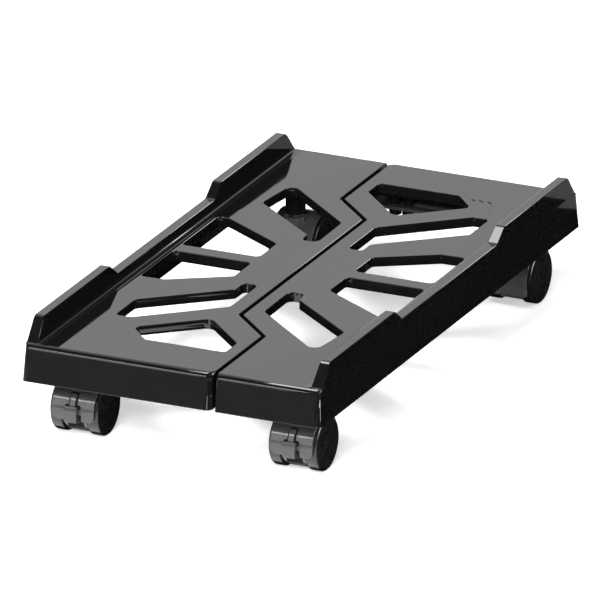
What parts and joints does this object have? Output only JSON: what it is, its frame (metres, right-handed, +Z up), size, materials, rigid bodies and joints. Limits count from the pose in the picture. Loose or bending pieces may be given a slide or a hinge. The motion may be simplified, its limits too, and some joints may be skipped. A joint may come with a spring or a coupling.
{
  "type": "computer tower stand",
  "caption": "Low rolling stand for a computer tower: two slatted deck halves with side fences slide apart on slotted bars and ride on braked swivel casters.",
  "frame": {"origin": "on the floor below the centre of the closed stand", "axes": "+X across the width (the halves draw apart along it), +Y to the back along the length, +Z up"},
  "size_m": [0.222, 0.4342, 0.0865],
  "materials": {
    "deck_plastic": "gloss",
    "caster_plastic": "semi gloss",
    "wheel_plastic": "satin",
    "bar_steel": "satin black",
    "screw_steel": "black oxide",
    "bright_steel": "zinc plated"
  },
  "bodies": {
    "left_half": {"left_deck": "deck_plastic", "rear_slide_bar": "bar_steel", "rear_bar_screws": "screw_steel", "front_guide_screws": "screw_steel", "front_guide_washers": "bright_steel", "front_left_stem": "bright_steel", "front_left_grip_ring": "bright_steel", "front_left_stem_clip": "bright_steel", "rear_left_stem": "bright_steel", "rear_left_grip_ring": "bright_steel", "rear_left_stem_clip": "bright_steel"},
    "right_half": {"right_deck": "deck_plastic", "front_slide_bar": "bar_steel", "front_bar_screws": "screw_steel", "rear_guide_screws": "screw_steel", "rear_guide_washers": "bright_steel", "front_right_stem": "bright_steel", "front_right_grip_ring": "bright_steel", "front_right_stem_clip": "bright_steel", "rear_right_stem": "bright_steel", "rear_right_grip_ring": "bright_steel", "rear_right_stem_clip": "bright_steel"},
    "front_left_caster": {"front_left_caster_body": "caster_plastic", "front_left_axle": "bright_steel"},
    "front_left_outer_wheel_body": {"front_left_outer_wheel": "wheel_plastic"},
    "front_left_inner_wheel_body": {"front_left_inner_wheel": "wheel_plastic"},
    "front_left_brake": {"front_left_brake_lever": "caster_plastic"},
    "front_right_caster": {"front_right_caster_body": "caster_plastic", "front_right_axle": "bright_steel"},
    "front_right_outer_wheel_body": {"front_right_outer_wheel": "wheel_plastic"},
    "front_right_inner_wheel_body": {"front_right_inner_wheel": "wheel_plastic"},
    "front_right_brake": {"front_right_brake_lever": "caster_plastic"},
    "rear_left_caster": {"rear_left_caster_body": "caster_plastic", "rear_left_axle": "bright_steel"},
    "rear_left_outer_wheel_body": {"rear_left_outer_wheel": "wheel_plastic"},
    "rear_left_inner_wheel_body": {"rear_left_inner_wheel": "wheel_plastic"},
    "rear_left_brake": {"rear_left_brake_lever": "caster_plastic"},
    "rear_right_caster": {"rear_right_caster_body": "caster_plastic", "rear_right_axle": "bright_steel"},
    "rear_right_outer_wheel_body": {"rear_right_outer_wheel": "wheel_plastic"},
    "rear_right_inner_wheel_body": {"rear_right_inner_wheel": "wheel_plastic"},
    "rear_right_brake": {"rear_right_brake_lever": "caster_plastic"}
  },
  "joints": [
    {"name": "width_slide", "type": "slide", "parent": "left_half", "child": "right_half", "axis": [1, 0, 0], "range_m": [0, 0.06]},
    {"name": "front_left_swivel", "type": "hinge", "parent": "left_half", "child": "front_left_caster", "pos_m": [-0.0814, -0.166, 0.0425], "axis": [0, 0, 1], "continuous": true},
    {"name": "front_left_outer_spin", "type": "hinge", "parent": "front_left_caster", "child": "front_left_outer_wheel_body", "pos_m": [-0.0814, -0.1775, 0.019], "axis": [1, 0, 0], "continuous": true},
    {"name": "front_left_inner_spin", "type": "hinge", "parent": "front_left_caster", "child": "front_left_inner_wheel_body", "pos_m": [-0.0814, -0.1775, 0.019], "axis": [1, 0, 0], "continuous": true},
    {"name": "front_left_brake_press", "type": "hinge", "parent": "front_left_caster", "child": "front_left_brake", "pos_m": [-0.0814, -0.1775, 0.019], "axis": [1, 0, 0], "range_deg": [0, 12]},
    {"name": "front_right_swivel", "type": "hinge", "parent": "right_half", "child": "front_right_caster", "pos_m": [0.0814, -0.166, 0.0425], "axis": [0, 0, 1], "continuous": true},
    {"name": "front_right_outer_spin", "type": "hinge", "parent": "front_right_caster", "child": "front_right_outer_wheel_body", "pos_m": [0.0814, -0.1775, 0.019], "axis": [1, 0, 0], "continuous": true},
    {"name": "front_right_inner_spin", "type": "hinge", "parent": "front_right_caster", "child": "front_right_inner_wheel_body", "pos_m": [0.0814, -0.1775, 0.019], "axis": [1, 0, 0], "continuous": true},
    {"name": "front_right_brake_press", "type": "hinge", "parent": "front_right_caster", "child": "front_right_brake", "pos_m": [0.0814, -0.1775, 0.019], "axis": [1, 0, 0], "range_deg": [0, 12]},
    {"name": "rear_left_swivel", "type": "hinge", "parent": "left_half", "child": "rear_left_caster", "pos_m": [-0.0814, 0.166, 0.0425], "axis": [0, 0, 1], "continuous": true},
    {"name": "rear_left_outer_spin", "type": "hinge", "parent": "rear_left_caster", "child": "rear_left_outer_wheel_body", "pos_m": [-0.0814, 0.1775, 0.019], "axis": [1, 0, 0], "continuous": true},
    {"name": "rear_left_inner_spin", "type": "hinge", "parent": "rear_left_caster", "child": "rear_left_inner_wheel_body", "pos_m": [-0.0814, 0.1775, 0.019], "axis": [1, 0, 0], "continuous": true},
    {"name": "rear_left_brake_press", "type": "hinge", "parent": "rear_left_caster", "child": "rear_left_brake", "pos_m": [-0.0814, 0.1775, 0.019], "axis": [-1, 0, 0], "range_deg": [0, 12]},
    {"name": "rear_right_swivel", "type": "hinge", "parent": "right_half", "child": "rear_right_caster", "pos_m": [0.0814, 0.166, 0.0425], "axis": [0, 0, 1], "continuous": true},
    {"name": "rear_right_outer_spin", "type": "hinge", "parent": "rear_right_caster", "child": "rear_right_outer_wheel_body", "pos_m": [0.0814, 0.1775, 0.019], "axis": [1, 0, 0], "continuous": true},
    {"name": "rear_right_inner_spin", "type": "hinge", "parent": "rear_right_caster", "child": "rear_right_inner_wheel_body", "pos_m": [0.0814, 0.1775, 0.019], "axis": [1, 0, 0], "continuous": true},
    {"name": "rear_right_brake_press", "type": "hinge", "parent": "rear_right_caster", "child": "rear_right_brake", "pos_m": [0.0814, 0.1775, 0.019], "axis": [-1, 0, 0], "range_deg": [0, 12]}
  ]
}
